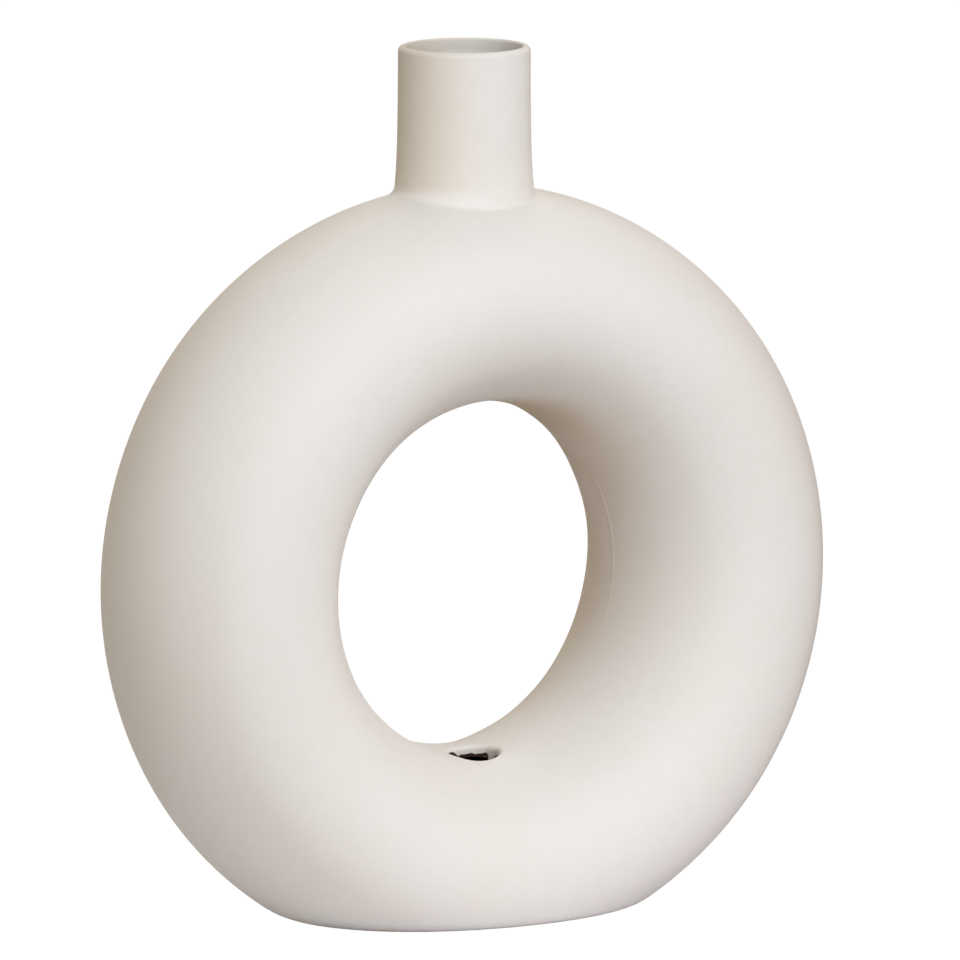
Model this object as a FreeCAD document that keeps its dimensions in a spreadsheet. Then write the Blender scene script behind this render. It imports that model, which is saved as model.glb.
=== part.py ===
import FreeCAD, Part
import Sketcher
import math
import os

# Donut vase: a hollow fired-clay ring that stands on a flat foot and carries a straight neck.
#
# The clay is two half rings, front and back, luted edge to edge with slip along the outer and the
# inner equator. The neck is a separate collar, coped to the crown of the ring and luted on over a
# port. A round stem opening goes through the inner wall at the bottom of the ring, under the neck.
# A coat of glaze lines the ring and the neck, so that the vase holds water.
#
# Millimetres. X runs across the ring, Y through its hole with the front at -Y, and Z up. The origin
# is the middle of the foot, on the surface that the vase stands on.

SIZES = (
    ("ring_centre_radius", 97.0, "ring's axis to the middle of its section"),
    ("section_half_radial", 37.7, "half the section's thickness, along the ring's radius"),
    ("section_half_depth", 49.8, "half the section's thickness, front to back"),
    ("section_end_radius", 31.0, "round of the section at the front and the back"),
    ("foot_trim_depth", 17.7, "how much of the round the flat foot takes off"),
    ("foot_edge_radius", 5.0, "soft edge round the foot"),
    ("wall_thickness", 4.0, "clay wall of the ring"),
    ("base_thickness", 5.0, "clay under the cavity at the foot"),
    ("seam_slip_gap", 1.2, "slip between the two half rings"),
    ("seam_ridge_rise", 0.25, "how far the fettled inner seam stands proud"),
    ("neck_height", 48.3, "mouth above the crown of the ring"),
    ("neck_mouth_radius", 23.0, "outside of the neck at the mouth"),
    ("neck_draft", 0.8, "how much wider the neck's outside is at the crown than at the mouth"),
    ("neck_wall_thickness", 3.2, "clay wall of the neck at the mouth"),
    ("port_radius", 17.0, "hole in the crown under the neck, and the neck's own bore at its root"),
    ("shoulder_rise", 6.0, "where the neck's bore has opened to its full width, above the crown"),
    ("neck_lip_radius", 1.5, "round of the lip, outside and inside"),
    ("neck_root_radius", 2.6, "fillet of the neck into the crown"),
    ("root_slip_thickness", 0.8, "slip between the neck's coped end and the crown"),
    ("root_slip_overhang", 1.0, "slip squeezed out beyond the neck's root"),
    ("stem_opening_radius", 8.6, "round opening in the inner wall"),
    ("stem_opening_aside", 2.5, "its centre, to the left of the middle"),
    ("stem_opening_forward", 11.0, "its centre, in front of the seam"),
    ("stem_lip_radius", 1.0, "soft edge of the stem opening"),
    ("glaze_thickness", 0.4, "glaze coat inside"),
    ("glaze_line_depth", 5.0, "where the glaze stops, below the mouth"),
    ("cut_overrun", 20.0, "how far a cutting tool reaches past what it cuts"),
)
DERIVED = (
    ("foot_height", "=0"),
    ("outside_offset", "=0"),
    ("cavity_offset", "=-wall_thickness"),
    ("lining_offset", "=cavity_offset - glaze_thickness"),
    ("lining_floor_height", "=base_thickness + glaze_thickness"),
    ("section_end_inset", "=section_half_depth - section_end_radius"),
    (
        "section_side_radius",
        "=(section_half_radial ^ 2 + section_end_inset ^ 2 - section_end_radius ^ 2)"
        " / (2 * (section_half_radial - section_end_radius))",
    ),
    ("ring_outer_radius", "=ring_centre_radius + section_half_radial"),
    ("ring_centre_height", "=ring_outer_radius - foot_trim_depth"),
    ("crown_height", "=ring_centre_height + ring_outer_radius"),
    ("section_top_height", "=ring_centre_height + ring_centre_radius"),
    ("section_bottom_height", "=ring_centre_height - ring_centre_radius"),
    ("section_side_inset", "=section_side_radius - section_half_radial"),
    ("stem_sine", "=stem_opening_forward / section_side_radius"),
    ("stem_start_reach", "=section_side_radius + cut_overrun"),
    ("stem_start_forward", "=stem_start_reach * stem_sine"),
    (
        "stem_start_height",
        "=section_bottom_height - section_side_inset + stem_start_reach * sqrt(1 - stem_sine ^ 2)",
    ),
    ("mouth_height", "=crown_height + neck_height"),
    (
        "neck_base_radius",
        "=neck_mouth_radius + neck_draft * (mouth_height - section_top_height) / neck_height",
    ),
    ("neck_bore_radius", "=neck_mouth_radius - neck_wall_thickness"),
    ("shoulder_top_height", "=crown_height + shoulder_rise"),
    ("shoulder_foot_height", "=shoulder_top_height - (neck_bore_radius - port_radius)"),
    ("lining_bore_radius", "=neck_bore_radius - glaze_thickness"),
    ("lining_port_radius", "=port_radius - glaze_thickness"),
    ("glaze_line_height", "=mouth_height - glaze_line_depth"),
    ("root_slip_radius", "=neck_mouth_radius + neck_draft + root_slip_overhang"),
    ("cut_width", "=2 * ring_outer_radius + 2 * cut_overrun"),
)

# How a sketch's constraints call the points of a line or curve, the two axes and the origin.
START, END, CENTRE = 1, 2, 3
ACROSS_AXIS, UPRIGHT_AXIS = -1, -2
ORIGIN = (ACROSS_AXIS, START)
TINY = 1e-4

doc = FreeCAD.newDocument("donut_vase")
sheet = doc.addObject("Spreadsheet::Sheet", "sizes")


def fill_sheet():
    """One row per size: its name, its value and what it measures."""
    for row, (alias, value, meaning) in enumerate(SIZES, start=1):
        sheet.set(f"A{row}", alias)
        sheet.set(f"B{row}", str(value))
        sheet.set(f"C{row}", meaning)
        sheet.setAlias(f"B{row}", alias)
    for row, (alias, formula) in enumerate(DERIVED, start=len(SIZES) + 1):
        sheet.set(f"A{row}", alias)
        sheet.set(f"B{row}", formula)
        sheet.setAlias(f"B{row}", alias)
    doc.recompute()


def size(alias):
    """A size from the sheet, as a plain number."""
    return float(getattr(sheet, alias))


def origin_plane(body, role):
    """One of a body's own origin planes."""
    return next(f for f in body.Origin.OriginFeatures if f.Role == role)


def new_sketch(body, name, role, lift=None):
    """A sketch on one of the body's origin planes, lifted off it by a size if lift names one."""
    sketch = body.newObject("Sketcher::SketchObject", name)
    sketch.AttachmentSupport = [(origin_plane(body, role), "")]
    sketch.MapMode = "FlatFace"
    sketch.Visibility = False
    if lift:
        sketch.setExpression("AttachmentOffset.Base.z", f"sizes.{lift}")
    return sketch


def dimension(sketch, name, kind, geometry, start, formula):
    """A named dimension that begins at start, as drawn, and follows the sheet from then on."""
    sketch.addConstraint(Sketcher.Constraint(kind, *geometry, start))
    sketch.renameConstraint(len(sketch.Constraints) - 1, name)
    sketch.setExpression(f"Constraints.{name}", formula)


def closed_outline(sketch, points):
    """Straight lines from point to point and back to the first one."""
    corners = [FreeCAD.Vector(x, y, 0) for x, y in points]
    for start, end in zip(corners, corners[1:] + corners[:1]):
        sketch.addGeometry(Part.LineSegment(start, end), False)
    for line in range(len(corners)):
        following = (line + 1) % len(corners)
        sketch.addConstraint(Sketcher.Constraint("Coincident", line, END, following, START))


def circle_sketch(body, name, lift, radius):
    """A level circle round the upright axis."""
    sketch = new_sketch(body, name, "XY_Plane", lift)
    sketch.addGeometry(Part.Circle(FreeCAD.Vector(), FreeCAD.Vector(0, 0, 1), size(radius)), False)
    sketch.addConstraint(Sketcher.Constraint("Coincident", 0, CENTRE, *ORIGIN))
    dimension(sketch, "radius", "Radius", (0,), size(radius), f"sizes.{radius}")
    return sketch


def add_ring(body, offset):
    """The ring as a solid: an upright oval beside the hole's axis, revolved about that axis.

    The oval is four arcs that run into one another: two wide ones at the equators and two tight
    ones at the front and the back. The size that offset names grows it all round, or shrinks it
    when it is negative.
    """
    sketch = new_sketch(body, body.Name + "_section", "XY_Plane", "ring_centre_height")
    middle = size("ring_centre_radius")
    side = size("section_side_radius") + size(offset)
    end = size("section_end_radius") + size(offset)
    inset = size("section_side_radius") - size("section_half_radial")
    depth = size("section_end_inset")
    turn = math.atan2(depth, inset)
    arcs = (
        (middle - inset, 0, side, -turn, turn),
        (middle, depth, end, turn, math.pi - turn),
        (middle + inset, 0, side, math.pi - turn, math.pi + turn),
        (middle, -depth, end, math.pi + turn, 2 * math.pi - turn),
    )
    for x, y, radius, first, last in arcs:
        circle = Part.Circle(FreeCAD.Vector(x, y, 0), FreeCAD.Vector(0, 0, 1), radius)
        sketch.addGeometry(Part.ArcOfCircle(circle, first, last), False)
    outer, back, inner, front = range(4)
    for one, other in ((outer, back), (back, inner), (inner, front), (front, outer)):
        sketch.addConstraint(Sketcher.Constraint("Tangent", one, END, other, START))
    sketch.addConstraint(Sketcher.Constraint("PointOnObject", outer, CENTRE, ACROSS_AXIS))
    sketch.addConstraint(Sketcher.Constraint("PointOnObject", inner, CENTRE, ACROSS_AXIS))
    sketch.addConstraint(Sketcher.Constraint("Equal", outer, inner))
    sketch.addConstraint(Sketcher.Constraint("Equal", back, front))
    dimension(sketch, "middle", "DistanceX", (*ORIGIN, back, CENTRE), middle, "sizes.ring_centre_radius")
    dimension(sketch, "depth", "DistanceY", (*ORIGIN, back, CENTRE), depth,
              "sizes.section_end_inset")
    dimension(sketch, "side", "Radius", (outer,), side, f"sizes.section_side_radius + sizes.{offset}")
    dimension(sketch, "end", "Radius", (back,), end, f"sizes.section_end_radius + sizes.{offset}")
    revolve(body, body.Name + "_ring", "PartDesign::Revolution", sketch)


def add_pocket(body, name, sketch, length=None, upward=False):
    """Cuts the sketch's outline out of the body, down or up, through all of it or by a length."""
    before = body.Shape.Volume
    pocket = body.newObject("PartDesign::Pocket", name)
    pocket.Profile = sketch
    pocket.Reversed = upward
    if length:
        pocket.Type = "Length"
        pocket.setExpression("Length", length)
    else:
        pocket.Type = "ThroughAll"
    doc.recompute()
    if body.Shape.Volume > before - TINY:
        raise RuntimeError(f"{name} takes nothing off")


def trim_below(body, level):
    """Cuts the body off flat at the height that level names."""
    sketch = new_sketch(body, body.Name + "_trim_plan", "XY_Plane", level)
    half = size("cut_width") / 2
    closed_outline(sketch, [(-half, -half), (half, -half), (half, half), (-half, half)])
    for line, kind in enumerate(("Horizontal", "Vertical", "Horizontal", "Vertical")):
        sketch.addConstraint(Sketcher.Constraint(kind, line))
    sketch.addConstraint(Sketcher.Constraint("Symmetric", 0, START, 2, START, *ORIGIN))
    dimension(sketch, "width", "DistanceX", (0, START, 0, END), 2 * half, "sizes.cut_width")
    dimension(sketch, "depth", "DistanceY", (1, START, 1, END), 2 * half, "sizes.cut_width")
    add_pocket(body, body.Name + "_trim", sketch)


def add_stem_pocket(body):
    """The stem opening, bored square to the inner wall as far as the middle of the section.

    Its sketch leans forward about the centre of the section's inner arc, so that its axis is square
    to the wall in front of the seam.
    """
    sketch = circle_sketch(body, body.Name + "_stem_plan", "stem_start_height", "stem_opening_radius")
    sketch.setExpression("AttachmentOffset.Base.x", "-sizes.stem_opening_aside")
    sketch.setExpression("AttachmentOffset.Base.y", "-sizes.stem_start_forward")
    sketch.AttachmentOffset.Rotation.Axis = FreeCAD.Vector(1, 0, 0)
    sketch.setExpression("AttachmentOffset.Rotation.Angle", "asin(sizes.stem_sine)")
    add_pocket(body, body.Name + "_stem_opening", sketch, "sizes.cut_overrun + sizes.section_half_radial")


def revolve(body, name, kind, sketch):
    """Turns the sketch's outline about its upright axis, added to the body or taken out of it."""
    turned = body.newObject(kind, name)
    turned.Profile = sketch
    turned.ReferenceAxis = (sketch, ["V_Axis"])
    turned.Angle = 360
    doc.recompute()
    base = turned.BaseFeature
    if kind == "PartDesign::Groove" and turned.Shape.Volume > base.Shape.Volume - TINY:
        raise RuntimeError(f"{name} takes nothing off")


def upright_outline(sketch, steps):
    """A closed outline against the upright axis, through steps from the bottom to the top.

    Each step is the size that names its radius and the one that names its height. The outline goes
    straight across from the axis to the first step, and back to it from the last.
    """
    first, last = steps[0], steps[-1]
    points = [(0, size(first[1]))]
    points += [(size(radius), size(height)) for radius, height in steps]
    points += [(0, size(last[1]))]
    closed_outline(sketch, points)
    top_line = len(steps)
    sketch.addConstraint(Sketcher.Constraint("Horizontal", 0))
    sketch.addConstraint(Sketcher.Constraint("Horizontal", top_line))
    sketch.addConstraint(Sketcher.Constraint("PointOnObject", 0, START, UPRIGHT_AXIS))
    sketch.addConstraint(Sketcher.Constraint("PointOnObject", top_line, END, UPRIGHT_AXIS))
    for line, (radius, height) in enumerate(steps):
        dimension(sketch, f"radius{line}", "DistanceX", (*ORIGIN, line, END), size(radius),
                  f"sizes.{radius}")
        dimension(sketch, f"height{line}", "DistanceY", (*ORIGIN, line, END), size(height),
                  f"sizes.{height}")


def bore_sketch(body, port, bore, top):
    """The hollow of the neck, from the middle of the top section to the height that top names.

    It is as narrow as the port in the crown at first, and opens over a shoulder to the bore.
    """
    sketch = new_sketch(body, body.Name + "_bore_outline", "XZ_Plane")
    steps = (
        (port, "section_top_height"),
        (port, "shoulder_foot_height"),
        (bore, "shoulder_top_height"),
        (bore, top),
    )
    upright_outline(sketch, steps)
    return sketch


def add_neck(body):
    """The neck's outside: a slightly drafted round, from inside the crown up to the mouth."""
    sketch = new_sketch(body, body.Name + "_neck_section", "XZ_Plane")
    steps = (("neck_base_radius", "section_top_height"), ("neck_mouth_radius", "mouth_height"))
    upright_outline(sketch, steps)
    revolve(body, body.Name + "_neck", "PartDesign::Revolution", sketch)


def round_edges(body, name, chosen, radius):
    """A fillet on the edges of the body's last feature that chosen accepts."""
    base = body.Tip
    names = [f"Edge{i}" for i, edge in enumerate(base.Shape.Edges, start=1) if chosen(edge.BoundBox)]
    if not names:
        raise RuntimeError(f"{name} finds no edge")
    fillet = body.newObject("PartDesign::Fillet", name)
    fillet.Base = (base, names)
    fillet.setExpression("Radius", f"sizes.{radius}")
    doc.recompute()


def new_body(name):
    """An empty body."""
    return doc.addObject("PartDesign::Body", name)


def plain_ring(name, offset):
    """A body that is nothing but the ring, grown by an offset."""
    body = new_body(name)
    add_ring(body, offset)
    return body


def boolean(kind, name, base, tool):
    """Part::Cut or Part::Common of two shapes."""
    result = doc.addObject(kind, name)
    result.Base = base
    result.Tool = tool
    result.Refine = False
    doc.recompute()
    return result


def cut(name, base, tool):
    """What is left of base outside tool."""
    return boolean("Part::Cut", name, base, tool)


def common(name, base, tool):
    """What is left of base inside tool."""
    return boolean("Part::Common", name, base, tool)


def side_box(name, low):
    """A box over the whole vase whose extent in depth begins at low and is a cut width deep."""
    box = doc.addObject("Part::Box", name)
    box.setExpression("Length", "sizes.cut_width")
    box.setExpression("Width", "sizes.cut_width")
    box.setExpression("Height", "sizes.mouth_height + 2 * sizes.cut_overrun")
    box.setExpression("Placement.Base.x", "-sizes.cut_width / 2")
    box.setExpression("Placement.Base.y", low)
    box.setExpression("Placement.Base.z", "-sizes.cut_overrun")
    doc.recompute()
    return box


fill_sheet()

# The ring before it is hollowed: flat foot, stem opening and port under the neck.
ring_blank = new_body("ring_blank")
add_ring(ring_blank, "outside_offset")
trim_below(ring_blank, "foot_height")
round_edges(ring_blank, "foot_edge", lambda box: box.ZMax < TINY, "foot_edge_radius")
add_stem_pocket(ring_blank)
round_edges(
    ring_blank,
    "stem_lip",
    lambda box: box.ZMin > size("section_bottom_height") + TINY
    and box.ZMax < size("ring_centre_height")
    and box.DiagonalLength < 4 * size("stem_opening_radius"),
    "stem_lip_radius",
)
port_plan = circle_sketch(ring_blank, "port_plan", "section_top_height", "port_radius")
add_pocket(ring_blank, "port", port_plan, upward=True)

# Its cavity, level over the foot.
ring_cavity = plain_ring("ring_cavity", "cavity_offset")
trim_below(ring_cavity, "base_thickness")
ring_shell = cut("ring_shell", ring_blank, ring_cavity)

# The two half rings and the slip between them. The outer seam is fettled flush, the inner one
# leaves a faint ridge.
front_side = side_box("front_side", "-sizes.cut_width - sizes.seam_slip_gap / 2")
back_side = side_box("back_side", "sizes.seam_slip_gap / 2")
ring_front_half = common("ring_front_half", ring_shell, front_side)
ring_back_half = common("ring_back_half", ring_shell, back_side)

seam_slab = side_box("seam_slab", "-sizes.seam_slip_gap / 2")
seam_slab.setExpression("Width", "sizes.seam_slip_gap")
ring_core = doc.addObject("Part::Cylinder", "ring_core")
ring_core.Placement.Rotation = FreeCAD.Rotation(FreeCAD.Vector(1, 0, 0), 90)
ring_core.setExpression("Radius", "sizes.ring_centre_radius")
ring_core.setExpression("Height", "sizes.cut_width")
ring_core.setExpression("Placement.Base.y", "sizes.cut_width / 2")
ring_core.setExpression("Placement.Base.z", "sizes.ring_centre_height")
doc.recompute()
seam_layer = common("seam_layer", ring_shell, seam_slab)
outer_seam_slip = cut("outer_seam_slip", seam_layer, ring_core)

ridge_ring = plain_ring("ridge_ring", "seam_ridge_rise")
ridge_core = common("ridge_core", ridge_ring, ring_core)
ridge_layer = common("ridge_layer", ridge_core, seam_slab)
inner_seam_slip = cut("inner_seam_slip", ridge_layer, ring_cavity)

# The neck is drawn on the ring, so that its root flows onto the crown, and the ring is then cut
# away again, grown by the slip between them.
neck_blank = new_body("neck_blank")
add_ring(neck_blank, "outside_offset")
add_neck(neck_blank)
round_edges(
    neck_blank,
    "neck_root",
    lambda box: box.ZMin > size("section_top_height") and box.ZMax < size("mouth_height") - TINY
    and box.DiagonalLength < 4 * size("neck_base_radius")
    and box.XLength > size("port_radius"),
    "neck_root_radius",
)
neck_hollow = bore_sketch(neck_blank, "port_radius", "neck_bore_radius", "mouth_height")
revolve(neck_blank, "neck_bore", "PartDesign::Groove", neck_hollow)
round_edges(neck_blank, "neck_lip", lambda box: box.ZMin > size("mouth_height") - TINY, "neck_lip_radius")
coping_ring = plain_ring("coping_ring", "root_slip_thickness")
neck = cut("neck", neck_blank, coping_ring)

bare_ring = plain_ring("bare_ring", "outside_offset")
slip_bounds = doc.addObject("Part::Cylinder", "slip_bounds")
slip_bounds.setExpression("Radius", "sizes.root_slip_radius")
slip_bounds.setExpression("Height", "sizes.mouth_height - sizes.section_top_height")
slip_bounds.setExpression("Placement.Base.z", "sizes.section_top_height")
doc.recompute()
coping_cap = common("coping_cap", coping_ring, slip_bounds)
slip_cap = cut("slip_cap", coping_cap, bare_ring)
neck_seam_slip = common("neck_seam_slip", slip_cap, neck_blank)

# The glaze: the cavity and the bore, less the same a coat's thickness further in.
glaze_outside = plain_ring("glaze_outside", "cavity_offset")
trim_below(glaze_outside, "base_thickness")
add_stem_pocket(glaze_outside)
outer_bore = bore_sketch(glaze_outside, "port_radius", "neck_bore_radius", "glaze_line_height")
revolve(glaze_outside, "glaze_outer_bore", "PartDesign::Revolution", outer_bore)
glaze_inside = plain_ring("glaze_inside", "lining_offset")
trim_below(glaze_inside, "lining_floor_height")
inner_bore = bore_sketch(glaze_inside, "lining_port_radius", "lining_bore_radius", "mouth_height")
revolve(glaze_inside, "glaze_inner_bore", "PartDesign::Revolution", inner_bore)
glaze_lining = cut("glaze_lining", glaze_outside, glaze_inside)

PIECES = (
    ring_front_half,
    ring_back_half,
    outer_seam_slip,
    inner_seam_slip,
    neck,
    neck_seam_slip,
    glaze_lining,
)

for piece in PIECES:
    piece.Label = piece.Name

doc.recompute()
for thing in doc.Objects:
    if "Invalid" in thing.State or "Error" in thing.State:
        raise RuntimeError(f"{thing.Name} is in a bad state: {thing.State}")
    if hasattr(thing, "Shape") and not thing.isDerivedFrom("App::OriginFeature"):
        if thing.Shape.isNull() or not thing.Shape.isValid():
            raise RuntimeError(f"{thing.Name} has no valid shape")

os.makedirs("parts", exist_ok=True)
for piece in PIECES:
    if len(piece.Shape.Solids) != 1:
        raise RuntimeError(f"{piece.Name} has {len(piece.Shape.Solids)} solids instead of one")
    piece.Shape.exportStep(f"parts/{piece.Label}.step")
    box = piece.Shape.BoundBox
    print(f"{piece.Label}: {piece.Shape.Volume / 1000:.2f} cm3, {box.XLength:.1f} x {box.YLength:.1f}"
          f" x {box.ZLength:.1f} mm")
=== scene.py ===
import math

import bpy
import numpy as np
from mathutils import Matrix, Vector


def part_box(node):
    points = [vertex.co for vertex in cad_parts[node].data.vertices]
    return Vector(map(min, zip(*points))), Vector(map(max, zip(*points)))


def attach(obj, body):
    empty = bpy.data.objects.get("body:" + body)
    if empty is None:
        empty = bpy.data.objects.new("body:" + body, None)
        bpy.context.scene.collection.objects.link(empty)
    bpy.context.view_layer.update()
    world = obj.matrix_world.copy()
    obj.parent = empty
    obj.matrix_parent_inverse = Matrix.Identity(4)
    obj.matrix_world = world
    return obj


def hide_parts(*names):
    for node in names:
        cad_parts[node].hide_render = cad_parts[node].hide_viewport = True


# The looks of the donut vase: two half rings with the slip between them, the neck with its bead of
# slip, the white coat over all of it and the dark glaze inside.
#
# Metres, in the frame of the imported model: X across the ring, Y through its hole with the front at
# -Y, and Z up from the foot.

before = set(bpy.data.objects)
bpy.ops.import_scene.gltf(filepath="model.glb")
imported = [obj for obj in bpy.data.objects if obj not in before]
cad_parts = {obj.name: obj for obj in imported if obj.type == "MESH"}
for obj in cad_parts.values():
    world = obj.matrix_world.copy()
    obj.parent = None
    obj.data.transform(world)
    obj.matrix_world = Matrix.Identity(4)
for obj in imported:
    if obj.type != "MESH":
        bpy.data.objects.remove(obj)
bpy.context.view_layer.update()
MM = 0.001

# The ring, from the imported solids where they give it. Its section is an oval of four arcs.
OUTER_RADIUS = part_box("ring_front_half")[1].x
HALF_DEPTH = -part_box("ring_front_half")[0].y
CENTRE_HEIGHT = (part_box("inner_seam_slip")[0].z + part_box("inner_seam_slip")[1].z) / 2
HALF_GAP = -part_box("ring_front_half")[1].y
CENTRE_RADIUS = 97.0 * MM
END_RADIUS = 31.0 * MM
HALF_RADIAL = OUTER_RADIUS - CENTRE_RADIUS
END_INSET = HALF_DEPTH - END_RADIUS
SIDE_RADIUS = (HALF_RADIAL ** 2 + END_INSET ** 2 - END_RADIUS ** 2) / (2 * (HALF_RADIAL - END_RADIUS))
SIDE_INSET = SIDE_RADIUS - HALF_RADIAL
JUNCTION = math.atan2(END_INSET, SIDE_INSET)
SEAM_LEAN = math.asin(HALF_GAP / SIDE_RADIUS)
CROWN_HEIGHT = CENTRE_HEIGHT + OUTER_RADIUS
WALL = 4.0 * MM
BASE = 5.0 * MM
BASE_SOFTNESS = 1.0 * MM

# The neck, its rounded lip, and the shoulder where its bore narrows to the port.
MOUTH_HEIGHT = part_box("neck")[1].z
NECK_RADIUS = 22.95 * MM
NECK_FLARE = 1.1 * MM
NECK_FLARE_HEIGHT = 11.0 * MM
BORE_RADIUS = 19.8 * MM
LIP_OUTER_ROUND = 2.1 * MM
LIP_INNER_ROUND = 1.0 * MM
PORT_RADIUS = 17.0 * MM
SHOULDER_TOP = CROWN_HEIGHT + 6.0 * MM
SHOULDER_FOOT = SHOULDER_TOP - (BORE_RADIUS - PORT_RADIUS)
SHOULDER_ROUND = 0.4 * MM

# The bead of slip round the neck's root: broad on the left, tight on the right.
BEAD_ROUND = 2.1 * MM
BEAD_SWING = 0.9 * MM
BEAD_WAVE = 0.15 * MM
BEAD_WAVES = 5
BEAD_WAVE_START = 0.7
BEAD_BROAD_SIDE = math.radians(149)
BEAD_KEY = 0.5 * MM

# The stem opening, bored square to the ring's inner wall in front of the seam. A lobe of coat has
# sagged into it on the right, and on the left the coat ends nearer the rim.
STEM_RADIUS = 8.6 * MM
STEM_LIP = 1.6 * MM
STEM_ASIDE = -2.5 * MM
STEM_FORWARD = 11.0 * MM
STEM_LEAN = math.asin(STEM_FORWARD / SIDE_RADIUS)
LOBE_TURN = math.radians(10.5)
LOBE_SPREAD = math.radians(8.5)
LOBE_BULGE = 1.6 * MM
LOBE_HANG = 1.6 * MM
LOBE_COAT = 3.0 * MM
LOBE_ONSET = 1.6
SHALLOW_TURN = math.radians(135)
SHALLOW_SPREAD = math.radians(31)
SHALLOW_COAT = 2.0 * MM

# The foot's soft edge, softest at its left end.
FOOT_SOFTNESS = 2.4 * MM
FOOT_SOFTNESS_LEFT = 3.6 * MM
FOOT_SWING_LENGTH = 1.2 * CENTRE_RADIUS

# The inner seam's ridge, fettled nearly flush all round and left to show a little on the right.
RIDGE_RISE = 0.17 * MM
RIDGE_WIDTH = 0.7 * MM
RIDGE_REMNANT = 0.15
RIDGE_TURN = math.radians(74)
RIDGE_SPREAD = math.radians(27)

# How far the clay wanders from true, over what distances, and how far inside true it lies.
WANDER = 0.13 * MM
WANDER_LENGTHS = (60 * MM, 150 * MM)
WANDER_WAVES = 7
WANDER_SEED = 11
SHRINK = 0.25 * MM

# Dents and swellings of the ring's inner wall: place from the ring's centre, breadth and height, in
# millimetres. The last three tilt the stem opening's rim, down at its left and up at its right.
DENTS = np.array([
    (68.0, 32.4, -9.7, 14.0, 0.42),
    (57.2, 31.5, -37.0, 14.0, 0.40),
    (41.5, 28.2, -51.7, 9.0, 0.35),
    (31.6, 25.6, -56.7, 9.0, 0.36),
    (19.0, 21.2, -60.2, 9.0, 0.73),
    (-24.2, -3.6, -54.3, 9.0, -0.93),
    (-44.7, -28.3, 49.0, 14.0, -0.24),
    (3.8, -8.3, 59.8, 9.0, -0.72),
    (19.9, 2.3, 55.9, 9.0, -0.67),
    (60.8, 27.0, 24.7, 14.0, 0.51),
    (66.9, 30.0, 6.4, 14.0, -0.41),
    (-10.5, -6.2, -58.0, 6.5, -1.1),
    (3.5, -16.5, -60.8, 6.5, 1.45),
    (-0.5, -20.3, -62.8, 5.0, 0.7),
]) * MM

# How finely the meshes are divided, the skin that is redrawn round each opening, and how many times
# a point is moved until it lies on the ring.
STEPS_ROUND = 384
STEPS_SECTION = 72
SEAM_STEPS = np.array([0.35, 0.8, 1.4, 2.1, 3.0]) * MM
PATCH_RINGS = 9
STEM_PATCH_ROWS = 17
STEM_PATCH_DEPTH = 26 * MM
PORT_PATCH_EDGE = 8 * MM
LIP_STEPS = 7
BORE_STEPS = 12
BAND_STEPS = 6
NECK_STEPS = 240
NECK_ROWS = 40
BEAD_ROWS = 10
DROP_ROUNDS = 12
FOOT_ROUNDS = 4
AROUND = np.arange(STEPS_ROUND) * 2 * math.pi / STEPS_ROUND
PORT_ROW = math.ceil(math.asin((PORT_RADIUS + PORT_PATCH_EDGE) / OUTER_RADIUS) / AROUND[1])


def unit(vectors):
    """The vectors, each at length one."""
    return vectors / np.linalg.norm(vectors, axis=-1, keepdims=True)


def wander_waves():
    """Seeded wave vectors and phases of the clay's slow unevenness."""
    draw = np.random.default_rng(WANDER_SEED)
    directions = unit(draw.normal(size=(WANDER_WAVES, 3)))
    lengths = draw.uniform(*WANDER_LENGTHS, size=WANDER_WAVES)
    phases = draw.uniform(0, 2 * math.pi, size=WANDER_WAVES)
    return directions * (2 * math.pi / lengths)[:, None], phases


WAVES, PHASES = wander_waves()


def unevenness(points):
    """How far the clay stands out at each point: slow waves, dents and the inner seam's ridge."""
    height = np.sin(points @ WAVES.T + PHASES).sum(axis=-1) * WANDER / math.sqrt(WANDER_WAVES)
    for *dent, breadth, rise in DENTS:
        away = np.linalg.norm(points - (dent + np.array([0, 0, CENTRE_HEIGHT])), axis=-1)
        height += rise * np.exp(-((away / breadth) ** 2) / 2)
    reach = np.hypot(points[..., 0], points[..., 2] - CENTRE_HEIGHT)
    turn = np.arctan2(points[..., 0], points[..., 2] - CENTRE_HEIGHT)
    fettling = RIDGE_REMNANT + (1 - RIDGE_REMNANT) * np.exp(-(((turn - RIDGE_TURN) / RIDGE_SPREAD) ** 2))
    ridge = RIDGE_RISE * fettling * np.exp(-((points[..., 1] / RIDGE_WIDTH) ** 2))
    return height - SHRINK + np.where(reach < CENTRE_RADIUS - HALF_RADIAL / 2, ridge, 0.0)


def shape_clay(points, normals):
    """Moves true points out by the unevenness, and turns their normals with the new surface."""
    step = 0.02 * MM
    height = unevenness(points)
    slope = np.empty_like(points)
    for axis in range(3):
        ahead = points.copy()
        ahead[..., axis] += step
        slope[..., axis] = (unevenness(ahead) - height) / step
    slope -= (slope * normals).sum(axis=-1, keepdims=True) * normals
    return points + height[..., None] * normals, unit(normals - slope)


def settle(points, normals, level, softness):
    """Lifts what is under a level up onto it, with a soft turn that begins softness above it."""
    drop = points[..., 2] - level
    near = np.abs(drop) < softness
    lift = np.where(near, (drop + softness) ** 2 / (4 * softness), np.maximum(drop, 0.0))
    steepness = np.where(near, (drop + softness) / (2 * softness), (drop > 0) * 1.0)
    moved = points.copy()
    moved[..., 2] = level + lift
    turned = normals.copy()
    turned[..., :2] *= steepness[..., None]
    turned[..., 2] = np.where(drop < -softness, -1.0, turned[..., 2])
    return moved, unit(turned)


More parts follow.
